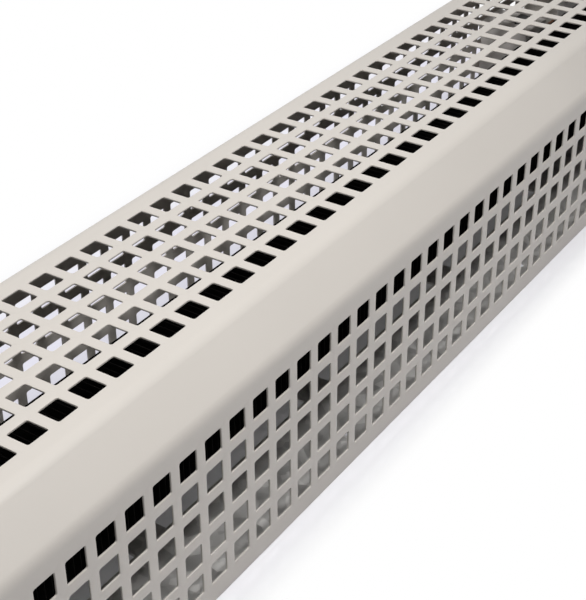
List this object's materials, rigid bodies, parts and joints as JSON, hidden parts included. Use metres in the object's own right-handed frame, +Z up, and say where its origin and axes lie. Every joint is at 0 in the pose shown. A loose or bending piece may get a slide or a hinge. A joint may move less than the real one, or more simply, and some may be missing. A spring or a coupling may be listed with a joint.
{
  "type": "plinth convector heater",
  "caption": "Low, long convector heater with a folded steel cover, square perforations in front, top and back, a slotted tray and a finned strip element inside.",
  "frame": {"origin": "on the floor, under the middle of the cover", "axes": "+X along the heater towards the terminal box, -Y to the front, +Z up"},
  "size_m": [0.66, 0.122, 0.1065],
  "materials": {
    "casing_paint": "satin powder coat",
    "galvanised": "galvanised",
    "element_black": "matt black",
    "insulator": "matt",
    "plated_steel": "plated",
    "box_grey": "satin",
    "clamp_brass": "plain",
    "black_plastic": "matt",
    "button_plastic": "gloss",
    "lead_brown": "sleeve",
    "lead_blue": "sleeve",
    "lead_green": "sleeve"
  },
  "bodies": {
    "base": {"base_tray": "galvanised", "end_panel_left": "casing_paint", "end_panel_right": "casing_paint", "element_fins": "element_black", "element_strip": "element_black", "element_bracket_left": "galvanised", "element_bracket_right": "galvanised", "element_bushes": "insulator", "element_terminals": "plated_steel", "terminal_box": "box_grey", "terminal_block": "insulator", "terminal_inserts": "clamp_brass", "cable_bush": "black_plastic", "thermal_cutout": "black_plastic", "live_lead": "lead_brown", "neutral_lead": "lead_blue", "link_lead": "lead_brown", "earth_lead": "lead_green", "earth_tag": "plated_steel"},
    "cover": {"cover": "casing_paint"},
    "terminal_lid": {"terminal_lid": "box_grey"},
    "reset_button": {"reset_button": "button_plastic"}
  },
  "joints": [
    {"name": "cover_lift", "type": "slide", "parent": "base", "child": "cover", "axis": [0, 0, 1], "range_m": [0, 0.15]},
    {"name": "lid_lift", "type": "slide", "parent": "base", "child": "terminal_lid", "axis": [0, 0, 1], "range_m": [0, 0.006]},
    {"name": "reset_press", "type": "slide", "parent": "base", "child": "reset_button", "axis": [0, 0, -1], "range_m": [0, 0.0015], "stiffness_N_per_m": 500, "springref_m": -0.001}
  ]
}
